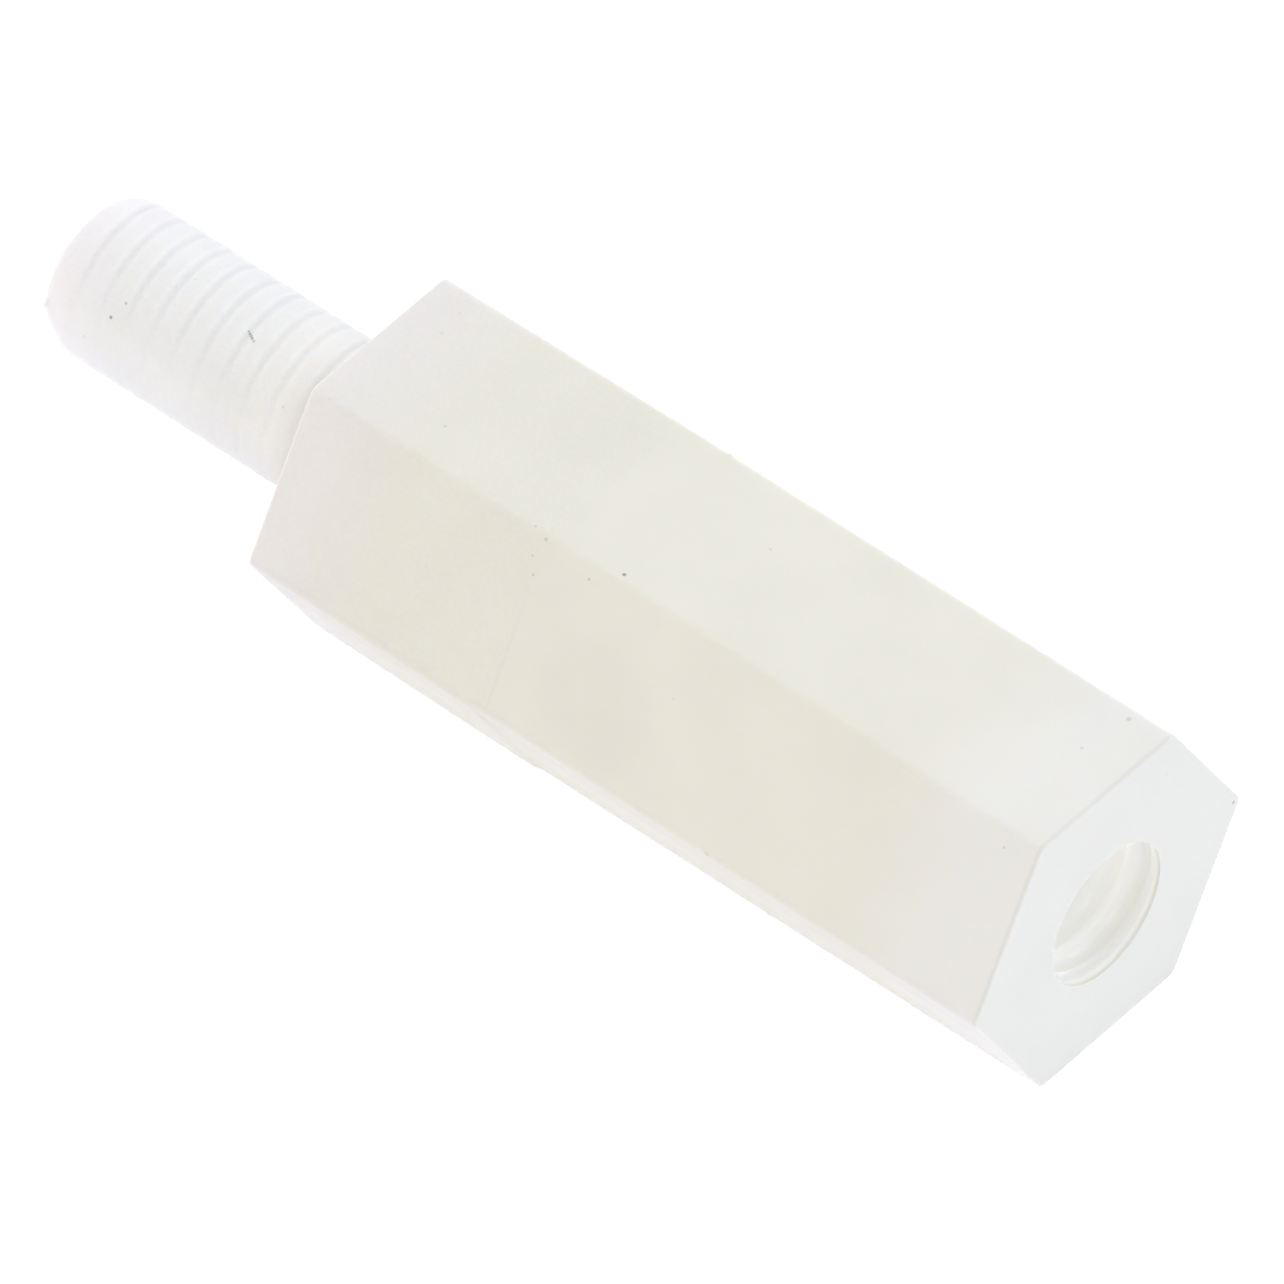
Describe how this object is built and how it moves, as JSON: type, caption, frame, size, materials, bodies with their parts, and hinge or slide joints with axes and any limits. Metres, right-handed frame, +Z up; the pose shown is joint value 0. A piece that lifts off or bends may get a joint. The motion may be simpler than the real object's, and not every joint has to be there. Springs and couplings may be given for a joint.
{
  "type": "hex standoff",
  "caption": "One-piece moulded nylon hex standoff with a threaded stud at one end and a tapped blind hole in the other.",
  "frame": {"origin": "on the standoff's axis in the shoulder plane, where the stud meets the hexagonal body", "axes": "+X along the axis from the shoulder to the tapped end, so the stud points along -X; the part lies on one flat of its hexagon, +Z up, with two of its long corners along +Y and -Y"},
  "size_m": [0.021, 0.0062, 0.0054],
  "materials": {
    "natural_nylon": "translucent milky natural nylon with a satin moulded surface"
  },
  "bodies": {
    "root": {"standoff": "natural_nylon"}
  },
  "joints": []
}
